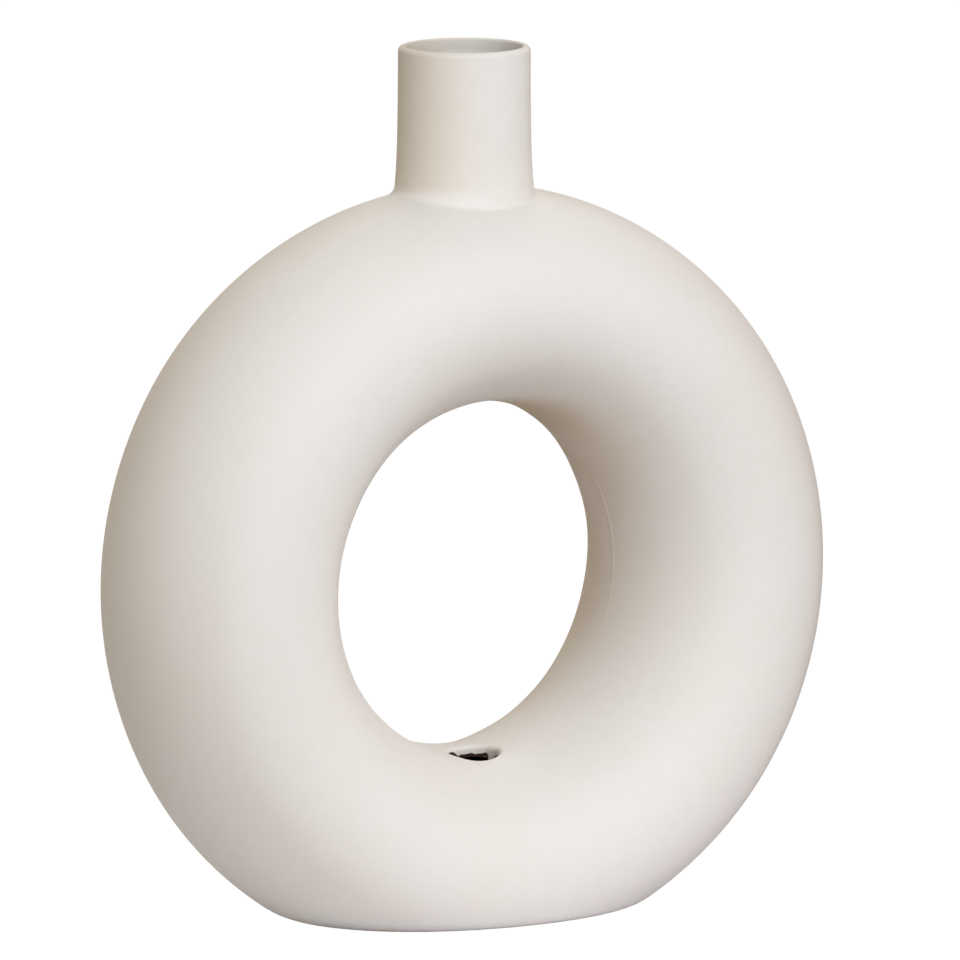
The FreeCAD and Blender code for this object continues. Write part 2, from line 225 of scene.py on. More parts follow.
def outer_finish(points, normals):
    """The outside as it is after fettling: a little uneven, and soft round the foot."""
    points, normals = shape_clay(points, normals)
    leftness = np.clip(0.5 - points[..., 0] / FOOT_SWING_LENGTH, 0, 1)
    return settle(points, normals, 0.0, FOOT_SOFTNESS + FOOT_SOFTNESS_LEFT * leftness ** 2)


def inner_finish(points, normals):
    """The cavity's wall, level over the base."""
    return settle(points, normals, BASE, BASE_SOFTNESS)


def ring_points(around, lean, offset):
    """Points and outward normals on the ring, grown by offset.

    around is the angle round the ring from the crown, and lean the angle of the section's normal
    from the outer equator towards the front.
    """
    tilt = np.abs(np.arctan2(np.sin(lean), np.cos(lean)))
    outer, inner = tilt <= JUNCTION, tilt >= math.pi - JUNCTION
    radius = np.where(outer | inner, SIDE_RADIUS, END_RADIUS) + offset
    middle = CENTRE_RADIUS + np.where(outer, -SIDE_INSET, np.where(inner, SIDE_INSET, 0.0))
    depth = np.where(outer | inner, 0.0, END_INSET * np.sign(np.sin(lean)))
    reach = middle + radius * np.cos(lean)
    forward = depth + radius * np.sin(lean)
    sine, cosine = np.sin(around), np.cos(around)
    points = np.stack([reach * sine, -forward + 0 * sine, CENTRE_HEIGHT + reach * cosine], axis=-1)
    normals = np.stack([np.cos(lean) * sine, -np.sin(lean) + 0 * sine, np.cos(lean) * cosine], axis=-1)
    return points, normals


def half_section_leans():
    """Leans from seam to seam over the front, evenly spaced in length, finer at the inner seam."""
    side, end = SIDE_RADIUS * JUNCTION, END_RADIUS * (math.pi - 2 * JUNCTION)
    lengths = np.cumsum([0, side, end, side])
    corners = np.array([0, JUNCTION, math.pi - JUNCTION, math.pi])
    ends = np.interp([SEAM_LEAN, math.pi - SEAM_LEAN], corners, lengths)
    leans = np.interp(np.linspace(*ends, STEPS_SECTION + 1), lengths, corners)
    fine = math.pi - SEAM_LEAN - SEAM_STEPS[::-1] / SIDE_RADIUS
    coarse = leans[leans < fine[0] - SEAM_STEPS[1] / SIDE_RADIUS]
    return np.concatenate([coarse, fine, [math.pi - SEAM_LEAN]])


class Opening:
    """A round hole through the ring's wall, along an axis that meets the outside at centre."""

    def __init__(self, centre, axis, side):
        self.centre = np.array(centre)
        self.axis = np.array(axis)
        self.across = np.array([1.0, 0.0, 0.0])
        self.along = np.cross(self.axis, self.across)
        self.side = side

    def plan(self, points):
        """Coordinates in the plane square to the axis."""
        away = points - self.centre
        return np.stack([away @ self.across, away @ self.along], axis=-1)

    def drop(self, plan, offset=0.0):
        """Points and normals where lines along the axis meet the ring, grown by offset."""
        points = self.centre + plan[..., :1] * self.across + plan[..., 1:] * self.along
        radius = SIDE_RADIUS + offset
        for _ in range(DROP_ROUNDS):
            lean = np.arcsin(-points[..., 1] / radius)
            reach = CENTRE_RADIUS + self.side * (radius * np.cos(lean) - SIDE_INSET)
            around = np.arcsin(points[..., 0] / reach)
            surface = CENTRE_HEIGHT + self.side * reach * np.cos(around)
            points = points + ((surface - points[..., 2]) / self.axis[2])[..., None] * self.axis
        if self.side < 0:
            lean, around = math.pi - lean, math.pi - around
        return ring_points(around, lean, offset)


PORT = Opening((0, 0, CROWN_HEIGHT), (0, 0, 1), side=1)
STEM_REACH = CENTRE_RADIUS + SIDE_INSET - SIDE_RADIUS * math.cos(STEM_LEAN)
STEM = Opening(
    (STEM_ASIDE, -STEM_FORWARD, CENTRE_HEIGHT - math.sqrt(STEM_REACH ** 2 - STEM_ASIDE ** 2)),
    (0, -math.sin(STEM_LEAN), math.cos(STEM_LEAN)),
    side=-1,
)


class Clay:
    """A mesh in the making: points with normals, faces shaded by them, and plain hidden faces."""

    def __init__(self):
        self.points = []
        self.normals = []
        self.depths = []
        self.count = 0
        self.shaded = []
        self.hidden = []

    def add(self, points, normals, depth=0.0):
        """Adds points and gives their numbers, in the same arrangement."""
        self.points.append(points.reshape(-1, 3))
        self.normals.append(normals.reshape(-1, 3))
        self.depths.append(np.broadcast_to(depth, points.shape[:-1]).reshape(-1))
        numbers = self.count + np.arange(points.size // 3).reshape(points.shape[:-1])
        self.count += points.size // 3
        return numbers

    def faces(self, grid, closed=False, flip=False, hidden=False, without=()):
        """Quads over a grid of numbers, whose first axis may close, less some blocks of cells."""
        grid = np.asarray(grid)
        if closed:
            grid = np.concatenate([grid, grid[:1]])
        quads = np.stack([grid[:-1, :-1], grid[1:, :-1], grid[1:, 1:], grid[:-1, 1:]], axis=-1)
        keep = np.ones(quads.shape[:2], bool)
        for first, last, columns in without:
            for row in range(first, last):
                keep[row % len(keep), columns] = False
        quads = quads[keep]
        if flip:
            quads = quads[:, ::-1]
        (self.hidden if hidden else self.shaded).extend(map(tuple, quads.tolist()))

    def finish(self, name, replaced, flip=False):
        """The finished object, riding on the vase's one body."""
        faces = np.array(self.shaded + self.hidden)
        if flip:
            faces = faces[:, ::-1]
        used = np.unique(faces)
        renumber = np.full(self.count, -1)
        renumber[used] = np.arange(len(used))
        faces = renumber[faces]
        mesh = bpy.data.meshes.new(name)
        mesh.from_pydata(np.concatenate(self.points)[used].tolist(), [], faces.tolist())
        mesh.polygons.foreach_set("use_smooth", [True] * len(faces))
        depth = mesh.attributes.new("coat_depth", "FLOAT", "POINT")
        depth.data.foreach_set("value", np.concatenate(self.depths)[used].astype(np.float32))
        normals = np.concatenate(self.normals)[used][faces.reshape(-1)]
        for polygon in mesh.polygons[len(self.shaded):]:
            corners = list(polygon.loop_indices)
            normals[corners] = polygon.normal
            for corner in corners:
                mesh.edges[mesh.loops[corner].edge_index].use_edge_sharp = True
        mesh.normals_split_custom_set(normals.tolist())
        mesh.materials.append(white_coat)
        piece = bpy.data.objects.new(name, mesh)
        bpy.context.scene.collection.objects.link(piece)
        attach(piece, "root")
        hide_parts(replaced)


def patch(clay, loop, opening, rim_radius, plan, offset, finish, flip, closed):
    """Rings of quads from a loop of the skin's own points in to the edge of an opening."""
    angles = np.arctan2(plan[:, 1], plan[:, 0])
    target = rim_radius * np.stack([np.cos(angles), np.sin(angles)], axis=-1)
    if not closed:
        ends = plan[[0, -1]]
        rim = np.sqrt(rim_radius ** 2 - ends[:, 1] ** 2)
        target[[0, -1]] = np.stack([np.sign(ends[:, 0]) * rim, ends[:, 1]], axis=-1)
    rings = [loop]
    for share in np.linspace(0, 1, PATCH_RINGS + 1)[1:]:
        points, normals = finish(*opening.drop(plan + (target - plan) * share, offset))
        rings.append(clay.add(points, -normals if flip else normals))
    rings = np.array(rings)
    clay.faces(rings.T, closed=closed, flip=flip)
    return rings


def half_ring(name, replaced, front):
    """A half ring: its outside, the cavity's wall, the edges that meet the slip, half the port,
    and in front the stem opening."""
    clay = Clay()
    mirror = np.array([1.0, 1.0 if front else -1.0, 1.0])
    leans = half_section_leans()
    last = len(leans) - 1
    forward = -ring_points(0.0, leans, 0.0)[0][:, 1]

    port_column = int(np.argmax(forward > PORT_RADIUS + PORT_PATCH_EDGE))
    port_loop = [(-PORT_ROW, column) for column in range(port_column)]
    port_loop += [(row, port_column) for row in range(-PORT_ROW, PORT_ROW + 1)]
    port_loop += [(PORT_ROW, column) for column in reversed(range(port_column))]
    without = [(-PORT_ROW, PORT_ROW, slice(0, port_column))]

    stem_middle = STEPS_ROUND // 2 + round(-STEM_ASIDE / (CENTRE_RADIUS - HALF_RADIAL) / AROUND[1])
    stem_first = int(np.argmin(np.where(leans > math.pi / 2, np.abs(forward - STEM_PATCH_DEPTH), 1)))
    low, high = stem_middle - STEM_PATCH_ROWS, stem_middle + STEM_PATCH_ROWS
    stem_loop = [(row, last) for row in range(low, high)]
    stem_loop += [(high, column) for column in range(last, stem_first, -1)]
    stem_loop += [(row, stem_first) for row in range(high, low, -1)]
    stem_loop += [(low, column) for column in range(stem_first, last)]
    if front:
        without.append((low, high, slice(stem_first, last)))

    outer_edges, inner_edges, port_rims, stem_rims = [], [], [], []
    for offset, finish, flip in ((0.0, outer_finish, False), (-WALL, inner_finish, True)):
        def finished(points, normals):
            return finish(points * mirror, normals * mirror)

        points, true_normals = ring_points(AROUND[:, None], leans[None, :], offset)
        made, normals = finished(points, true_normals)
        numbers = clay.add(made, -normals if flip else normals)
        clay.faces(numbers, closed=True, flip=not flip, without=without)
        rows, columns = np.array(port_loop).T
        rings = patch(clay, numbers[rows, columns], PORT, PORT_RADIUS, PORT.plan(points[rows, columns]),
                      offset, finished, flip, closed=False)
        port_rims.append(rings[-1])
        long_way = np.arange(PORT_ROW, STEPS_ROUND - PORT_ROW + 1)
        outer_edges.append(np.concatenate([rings[:0:-1, -1], numbers[long_way, 0], rings[1:, 0]]))
        inner_edges.append(numbers[:, last])
        if front:
            rows, columns = np.array(stem_loop).T
            plan = STEM.plan(points[rows, columns])
            rings = patch(clay, numbers[rows, columns], STEM, STEM_RADIUS + (0.0 if flip else STEM_LIP),
                          plan, offset, finished, flip, closed=True)
            stem_rims.append(rings[-1])
    clay.faces(np.array(outer_edges).T, hidden=True)
    clay.faces(np.array(port_rims).T, hidden=True)
    clay.faces(np.array(inner_edges).T, closed=True, flip=True, hidden=True)
    if front:
        stem_bore(clay, stem_rims, np.arctan2(plan[:, 1], plan[:, 0]))
    clay.finish(name, replaced, flip=not front)


def stem_bore(clay, rims, angles):
    """The stem opening's rounded lip and its bore, with the lobe of coat that has sagged into it."""
    def swell(turn, spread):
        away = np.arctan2(np.sin(angles - turn), np.cos(angles - turn))
        return np.exp(-((away / spread) ** 2))

    lobe = swell(LOBE_TURN, LOBE_SPREAD)
    shallow = swell(SHALLOW_TURN, SHALLOW_SPREAD)
    outward = np.stack([np.cos(angles), np.sin(angles)], axis=-1)
    inward = -(outward[:, :1] * STEM.across + outward[:, 1:] * STEM.along)
    lip = np.linspace(0, math.pi / 2, LIP_STEPS + 1)[1:]
    straight = np.full(BORE_STEPS, math.pi / 2)
    turns = np.concatenate([lip, straight])
    radii = STEM_RADIUS + STEM_LIP * (1 - np.sin(turns))
    depths = np.concatenate([
        STEM_LIP * (1 - np.cos(lip)),
        np.linspace(STEM_LIP, WALL, BORE_STEPS + 1)[1:],
    ])
    rows = [rims[0]]
    for radius, depth, turn in zip(radii, depths, turns):
        share = depth / WALL
        reach = radius - LOBE_BULGE * lobe * math.sin(math.pi / 2 * min(1.0, LOBE_ONSET * share))
        level, facing = outer_finish(*STEM.drop(reach[:, None] * outward))
        points = level - (depth + LOBE_HANG * lobe * share ** 2)[:, None] * STEM.axis
        normals = unit(math.cos(turn) * facing + math.sin(turn) * inward)
        rows.append(clay.add(points, normals, depth - LOBE_COAT * lobe + SHALLOW_COAT * shallow))
    clay.faces(np.array(rows).T, closed=True)
    clay.faces(np.array([rows[-1], rims[1]]).T, closed=True, hidden=True)


def seam_band(name, replaced, around, middle_lean, closed):
    """The slip between the halves along one equator, from the outside to the cavity."""
    clay = Clay()
    leans = middle_lean + np.linspace(-SEAM_LEAN, SEAM_LEAN, BAND_STEPS + 1)
    outside = clay.add(*outer_finish(*ring_points(around[:, None], leans[None, :], 0.0)))
    points, normals = inner_finish(*ring_points(around[:, None], leans[None, :], -WALL))
    cavity = clay.add(points, -normals)
    clay.faces(outside, closed=closed, flip=True)
    clay.faces(cavity, closed=closed)
    clay.faces(np.stack([outside[:, 0], cavity[:, 0]], axis=-1), closed=closed, hidden=True)
    clay.faces(np.stack([outside[:, -1], cavity[:, -1]], axis=-1), closed=closed, flip=True, hidden=True)
    if not closed:
        clay.faces(np.stack([outside[0], cavity[0]], axis=-1), flip=True, hidden=True)
        clay.faces(np.stack([outside[-1], cavity[-1]], axis=-1), hidden=True)
    clay.finish(name, replaced)


def outer_band_angles():
    """Angles round the ring from one side of the port to the other, as the halves have them."""
    rows = AROUND[1] * np.arange(PORT_ROW, STEPS_ROUND - PORT_ROW + 1)
    loop_edge = OUTER_RADIUS * math.sin(rows[0])
    rim_edge = math.sqrt(PORT_RADIUS ** 2 - HALF_GAP ** 2)
    near = np.arcsin(np.linspace(rim_edge, loop_edge, PATCH_RINGS + 1)[:-1] / OUTER_RADIUS)
    return np.concatenate([near, rows, 2 * math.pi - near[::-1]])


NECK_ANGLES = np.arange(NECK_STEPS) * 2 * math.pi / NECK_STEPS
NECK_DIRECTIONS = np.stack([np.cos(NECK_ANGLES), np.sin(NECK_ANGLES)], axis=-1)


def neck_flare(height):
    """How much wider the neck is at a height, towards its root."""
    return NECK_FLARE * np.exp(-(height - CROWN_HEIGHT) / NECK_FLARE_HEIGHT)


def neck_foot():
    """Where the neck's outside meets the crown, and the crown's normals there."""
    radius = np.full(NECK_STEPS, NECK_RADIUS + NECK_FLARE)
    for _ in range(FOOT_ROUNDS):
        points, normals = PORT.drop(radius[:, None] * NECK_DIRECTIONS)
        radius = NECK_RADIUS + neck_flare(points[:, 2])
    return points, normals


def neck_row(radius, height, radial, upward):
    """Points round the neck's axis, with normals that point radially and up by the given shares."""
    radius, height, radial, upward = (value + np.zeros(NECK_STEPS)
                                      for value in (radius, height, radial, upward))
    points = np.column_stack([radius[:, None] * NECK_DIRECTIONS, height])
    return points, unit(np.column_stack([radial[:, None] * NECK_DIRECTIONS, upward]))


def make_neck():
    """The collar: coped to the crown, flared at the root, with a rounded lip and a narrowing bore."""
    foot, _ = neck_foot()
    lip_height = MOUTH_HEIGHT - LIP_OUTER_ROUND
    rows = []
    for share in np.linspace(0, 1, NECK_ROWS + 1):
        height = foot[:, 2] + (lip_height - foot[:, 2]) * share
        flare = neck_flare(height)
        rows.append(neck_row(NECK_RADIUS + flare, height, 1.0, flare / NECK_FLARE_HEIGHT))
    lip_middle = NECK_RADIUS + neck_flare(lip_height) - LIP_OUTER_ROUND
    bore_middle = BORE_RADIUS + LIP_INNER_ROUND
    for round_radius, middle, first in ((LIP_OUTER_ROUND, lip_middle, 0.0),
                                        (LIP_INNER_ROUND, bore_middle, math.pi / 2)):
        for turn in first + np.linspace(0, math.pi / 2, LIP_STEPS + 1):
            rows.append(neck_row(
                middle + round_radius * math.cos(turn),
                MOUTH_HEIGHT - round_radius + round_radius * math.sin(turn),
                math.cos(turn),
                math.sin(turn),
            ))
    port_foot = PORT.drop(PORT_RADIUS * NECK_DIRECTIONS)[0][:, 2]
    for radius, height, radial, upward in (
        (BORE_RADIUS, SHOULDER_TOP + SHOULDER_ROUND, -1, 0),
        (BORE_RADIUS - SHOULDER_ROUND, SHOULDER_TOP - SHOULDER_ROUND, -1, 1),
        (PORT_RADIUS + SHOULDER_ROUND, SHOULDER_FOOT + SHOULDER_ROUND, -1, 1),
        (PORT_RADIUS, SHOULDER_FOOT - SHOULDER_ROUND, -1, 0),
        (PORT_RADIUS, port_foot, -1, 0),
    ):
        rows.append(neck_row(radius, height, radial, upward))
    clay = Clay()
    points, normals = shape_clay(np.array([row[0] for row in rows]), np.array([row[1] for row in rows]))
    numbers = clay.add(points, normals)
    clay.faces(numbers.T, closed=True)
    clay.faces(numbers[[-1, 0]].T, closed=True, hidden=True)
    clay.finish("neck_collar", "neck")


def make_bead():
    """The bead of slip at the neck's root: a hollow round that leaves the neck and the crown flush."""
    foot, crown_normals = neck_foot()
    bead = (BEAD_ROUND + BEAD_SWING * np.cos(NECK_ANGLES - BEAD_BROAD_SIDE)
            + BEAD_WAVE * np.sin(BEAD_WAVES * NECK_ANGLES + BEAD_WAVE_START))
    fall = np.arctan2((crown_normals[:, :2] * NECK_DIRECTIONS).sum(axis=1), crown_normals[:, 2])
    base_radius = np.hypot(foot[:, 0], foot[:, 1])
    rows = []
    for share in np.linspace(0, 1, BEAD_ROWS + 1):
        turn = (math.pi / 2 - fall) * share
        out = bead * (1 - np.cos(turn))
        rise = bead / np.cos(fall) - np.tan(fall) * (bead - out) - bead * np.sin(turn)
        ground, _ = PORT.drop((base_radius + out)[:, None] * NECK_DIRECTIONS)
        height = ground[:, 2] + rise
        rows.append(neck_row(NECK_RADIUS + neck_flare(height) + out, height, 1, 0)[0])
    points = np.array(rows)
    onward = np.roll(points, -1, axis=1) - np.roll(points, 1, axis=1)
    normals = unit(np.cross(np.gradient(points, axis=0), onward))
    points[-1], normals[-1] = PORT.drop(points[-1][:, :2])
    normals[0] = unit(np.column_stack([NECK_DIRECTIONS, neck_flare(points[0][:, 2]) / NECK_FLARE_HEIGHT]))
    clay = Clay()
    numbers = clay.add(*shape_clay(points, normals))
    inside = clay.add(*PORT.drop((base_radius - BEAD_KEY)[:, None] * NECK_DIRECTIONS, -BEAD_KEY))
    clay.faces(numbers.T, closed=True, flip=True)
    clay.faces(np.array([numbers[-1], inside, numbers[0]]).T, closed=True, flip=True, hidden=True)
    clay.finish("neck_root_bead", "neck_seam_slip")


def feed(tree, socket, value):
    """Feeds a socket with another socket or with a value."""
    if isinstance(value, bpy.types.NodeSocket):
        tree.links.new(value, socket)
    else:
        socket.default_value = value


def node(tree, kind, inputs=None, **settings):
    """Adds a node, sets it and feeds its inputs."""
    made = tree.nodes.new(kind)
    for key, value in settings.items():
        setattr(made, key, value)
    for key, value in (inputs or {}).items():
        feed(tree, made.inputs[key], value)
    return made


def sums(tree, operation, first, second=0.0, third=0.0):
    """The result of a sum on sockets or numbers."""
    return node(tree, "ShaderNodeMath", {0: first, 1: second, 2: third}, operation=operation).outputs[0]


def mixed(tree, share, first, second):
    """A mixture of two colours."""
    return node(tree, "ShaderNodeMix", {0: share, 6: first, 7: second}, data_type="RGBA").outputs[2]


def blended(tree, share, first, second):
    """A mixture of two numbers."""
    return node(tree, "ShaderNodeMix", {0: share, 2: first, 3: second}, data_type="FLOAT").outputs[0]


def ramped(tree, value, low, high):
    """0 below low and 1 above high, smoothly between."""
    inputs = {0: value, 1: low, 2: high}
    return node(tree, "ShaderNodeMapRange", inputs, interpolation_type="SMOOTHSTEP").outputs[0]


def object_place(tree):
    """The point's place in the vase's own frame."""
    return node(tree, "ShaderNodeTexCoord").outputs["Object"]


def near_place(tree, place, near, far):
    """1 within a near distance of a place and 0 beyond a far one, smoothly between."""
    away = node(tree, "ShaderNodeVectorMath", {0: object_place(tree), 1: place}, operation="DISTANCE")
    return ramped(tree, away.outputs["Value"], far, near)


def noise(tree, scale, detail=2.0):
    """A noise value over the vase's own frame."""
    inputs = {"Vector": object_place(tree), "Scale": scale, "Detail": detail, "Roughness": 0.55}
    return node(tree, "ShaderNodeTexNoise", inputs).outputs[0]


def new_group(name, inputs, outputs):
    """A node group with named inputs and outputs: its tree and its two ends."""
    tree = bpy.data.node_groups.new(name, "ShaderNodeTree")
    for direction, sockets in (("INPUT", inputs), ("OUTPUT", outputs)):
        for socket, kind in sockets.items():
            tree.interface.new_socket(name=socket, in_out=direction, socket_type="NodeSocket" + kind)
    return tree, node(tree, "NodeGroupInput").outputs, node(tree, "NodeGroupOutput").inputs


def slow_tone_group():
    """A colour that drifts slowly between two tones."""
    tree, given, result = new_group(
        "slow_tone",
        {"Tone": "Color", "Other Tone": "Color", "Patches per Metre": "Float"},
        {"Color": "Color"},
    )
    drift = ramped(tree, noise(tree, given["Patches per Metre"], detail=3.0), 0.3, 0.7)
    feed(tree, result["Color"], mixed(tree, drift, given["Tone"], given["Other Tone"]))
    return tree


def fine_grain_group():
    """The fine tooth of a fired surface, as a height and as a mask of its hollows."""
    tree, given, result = new_group(
        "fine_grain",
        {"Grains per Metre": "Float"},
        {"Height": "Float", "Hollows": "Float"},
    )
    fine = noise(tree, given["Grains per Metre"], detail=3.0)
    broad = noise(tree, sums(tree, "MULTIPLY", given["Grains per Metre"], 0.17))
    height = sums(tree, "MULTIPLY_ADD", broad, 0.4, sums(tree, "MULTIPLY", fine, 0.6))
    feed(tree, result["Height"], height)
    feed(tree, result["Hollows"], ramped(tree, height, 0.56, 0.4))
    return tree


def specks_group():
    """Sparse small ragged specks, such as iron in the clay."""
    tree, given, result = new_group(
        "specks",
        {"Cells per Metre": "Float", "Size": "Float", "Share": "Float"},
        {"Mask": "Float"},
    )
    cells = node(tree, "ShaderNodeTexVoronoi",
                 {"Vector": object_place(tree), "Scale": given["Cells per Metre"]})
    chance = node(tree, "ShaderNodeSeparateColor", {"Color": cells.outputs["Color"]}).outputs[0]
    chosen = sums(tree, "LESS_THAN", chance, given["Share"])
    ragged = sums(tree, "MULTIPLY", given["Size"], sums(tree, "SUBTRACT", 1.5, noise(tree, 2400.0)))
    inside = sums(tree, "SUBTRACT", ragged, cells.outputs["Distance"])
    dot = ramped(tree, inside, 0.0, sums(tree, "MULTIPLY", given["Size"], 0.5))
    feed(tree, result["Mask"], sums(tree, "MULTIPLY", dot, chosen))
    return tree


def ragged_edge_group():
    """A mask that turns on past an edge that strays and breaks up."""
    tree, given, result = new_group(
        "ragged_edge",
        {"Past Edge": "Float", "Stray": "Float", "Waves per Metre": "Float", "Softness": "Float"},
        {"Mask": "Float"},
    )
    wave = sums(tree, "SUBTRACT", noise(tree, given["Waves per Metre"], detail=3.0), 0.5)
    strayed = sums(tree, "MULTIPLY_ADD", wave, given["Stray"], given["Past Edge"])
    before = sums(tree, "MULTIPLY", given["Softness"], -1.0)
    feed(tree, result["Mask"], ramped(tree, strayed, before, given["Softness"]))
    return tree


SLOW_TONE = slow_tone_group()
FINE_GRAIN = fine_grain_group()
SPECKS = specks_group()
RAGGED_EDGE = ragged_edge_group()


def effect(tree, group, **values):
    """Places a node group with its own values: patches_per_metre feeds Patches per Metre."""
    made = node(tree, "ShaderNodeGroup", node_tree=group)
    for key, value in values.items():
        name = key.replace("_", " ").title().replace(" Per ", " per ")
        feed(tree, made.inputs[name], value)
    return made.outputs


def new_material(name):
    """An empty material: itself, its tree and its Principled shader."""
    material = bpy.data.materials.new(name)
    material.use_nodes = True
    return material, material.node_tree, material.node_tree.nodes["Principled BSDF"]


# The tones of the coat, the clay and the glaze, and of the painted shade and painted light on the coat.
WARM_WHITE = (0.76, 0.72, 0.66, 1)
COOL_WHITE = (0.77, 0.735, 0.69, 1)
# The thin coat's tone, used also for the painted shade on the left of the neck and in the ring's hole.
THIN_COAT_AND_SHADE_TONE = (0.70, 0.63, 0.54, 1)
ARCH_SHADE_TONE = (0.60, 0.50, 0.39, 1)
BARE_CLAY = (0.52, 0.42, 0.32, 1)
IRON = (0.10, 0.06, 0.04, 1)
DARK_GLAZE = (0.036, 0.022, 0.014, 1)
AMBER_GLAZE = (0.08, 0.043, 0.023, 1)
# Painted light: the coat lapped over the glaze in the mouth is given a lighter tone than the coat outside,
# for light the mouth's inside lacks.
PAINTED_LIGHT_LAPPED_COAT = (0.90, 0.88, 0.85, 1)

# Where the coat ends in the stem opening, and where it laps over the glaze in the mouth.
HEM_DEPTH = 2.95 * MM
GLAZE_LINE = MOUTH_HEIGHT - 6.8 * MM

# How strongly the coat and the glaze show their hollows, specks and worn lip, and how rough they are
# between their high spots and their hollows.
HOLLOW_SHARE = 0.12
COAT_SPECK_SHARE = 0.6
GLAZE_SPECK_SHARE = 0.5
LIP_SHARE = 0.12
COAT_ROUGHNESS = (0.78, 0.9)
GLAZE_ROUGHNESS = (0.16, 0.3)
HEM_ROUGHNESS = 0.3
LAP_ROUGHNESS = 0.85
BARE_TOOTH = 2.5

# Painted shade: the coat is mixed towards a darker, warmer tone on the left of the neck and in the upper
# right of the ring's hole, and darker still in a spot under the hole's arch.
SHADED_NECK_SIDE = (-0.86, 0.51, 0.0)
SHADED_NECK_SIDE_BLEND = 16 * MM
HOLE_SHADE_PLACE = (38 * MM, 2 * MM, CENTRE_HEIGHT + 44 * MM)
HOLE_SHADE_REACH = (12 * MM, 44 * MM)
PAINTED_SHADE_SHARE = 0.95
ARCH_SHADE_PLACE = (23 * MM, -7 * MM, CENTRE_HEIGHT + 55 * MM)
ARCH_SHADE_REACH = (4 * MM, 30 * MM)


def make_white_coat():
    """The matt white coat: fine tooth, slow tones, a few specks, thinner on the lip, bare under the foot,
    painted shade on the left of the neck and in the ring's hole, and ending in a ragged hem inside the stem
    opening."""
    material, tree, shader = new_material("matt_white_coat")
    height = node(tree, "ShaderNodeSeparateXYZ", {"Vector": object_place(tree)}).outputs["Z"]
    tone = effect(tree, SLOW_TONE, tone=WARM_WHITE, other_tone=COOL_WHITE, patches_per_metre=16.0)["Color"]
    grain = effect(tree, FINE_GRAIN, grains_per_metre=1500.0)
    tone = mixed(tree, sums(tree, "MULTIPLY", grain["Hollows"], HOLLOW_SHARE), tone, THIN_COAT_AND_SHADE_TONE)
    specks = effect(tree, SPECKS, cells_per_metre=60.0, size=0.03, share=0.05)["Mask"]
    tone = mixed(tree, sums(tree, "MULTIPLY", specks, COAT_SPECK_SHARE), tone, IRON)

    # Painted shade: the left of the neck, the upper right of the ring's hole and, darker, a spot under its
    # arch.
    side = node(tree, "ShaderNodeVectorMath", {0: object_place(tree), 1: SHADED_NECK_SIDE},
                operation="DOT_PRODUCT").outputs["Value"]
    above = ramped(tree, height, CROWN_HEIGHT - 2 * MM, CROWN_HEIGHT + 3 * MM)
    neck_side = sums(tree, "MULTIPLY", ramped(tree, side, -SHADED_NECK_SIDE_BLEND, SHADED_NECK_SIDE_BLEND), above)
    painted_shade = sums(tree, "MAXIMUM", neck_side, near_place(tree, HOLE_SHADE_PLACE, *HOLE_SHADE_REACH))
    tone = mixed(tree, sums(tree, "MULTIPLY", painted_shade, PAINTED_SHADE_SHARE), tone, THIN_COAT_AND_SHADE_TONE)
    tone = mixed(tree, near_place(tree, ARCH_SHADE_PLACE, *ARCH_SHADE_REACH), tone, ARCH_SHADE_TONE)

    lip = effect(tree, RAGGED_EDGE, past_edge=sums(tree, "SUBTRACT", height, MOUTH_HEIGHT - 0.6 * MM),
                 stray=0.8 * MM, waves_per_metre=90.0, softness=0.5 * MM)["Mask"]
    tone = mixed(tree, sums(tree, "MULTIPLY", lip, LIP_SHARE), tone, THIN_COAT_AND_SHADE_TONE)

    foot = effect(tree, RAGGED_EDGE, past_edge=sums(tree, "SUBTRACT", 0.5 * MM, height),
                  stray=0.6 * MM, waves_per_metre=130.0, softness=0.15 * MM)["Mask"]
    clay = effect(tree, SLOW_TONE, tone=BARE_CLAY, other_tone=THIN_COAT_AND_SHADE_TONE, patches_per_metre=45.0)["Color"]
    tone = mixed(tree, foot, tone, clay)

    depth = node(tree, "ShaderNodeAttribute", attribute_name="coat_depth").outputs["Fac"]
    hem = effect(tree, RAGGED_EDGE, past_edge=sums(tree, "SUBTRACT", depth, HEM_DEPTH),
                 stray=2.2 * MM, waves_per_metre=420.0, softness=0.12 * MM)["Mask"]
    feed(tree, shader.inputs["Base Color"], mixed(tree, hem, tone, DARK_GLAZE))

    rough = blended(tree, grain["Hollows"], *COAT_ROUGHNESS)
    feed(tree, shader.inputs["Roughness"], blended(tree, hem, rough, HEM_ROUGHNESS))
    tooth = blended(tree, foot, grain["Height"], sums(tree, "MULTIPLY", grain["Height"], BARE_TOOTH))
    bump = node(tree, "ShaderNodeBump", {"Strength": 0.35, "Distance": 0.06 * MM, "Height": tooth})
    feed(tree, shader.inputs["Normal"], bump.outputs["Normal"])
    shader.inputs["Specular IOR Level"].default_value = 0.35
    return material


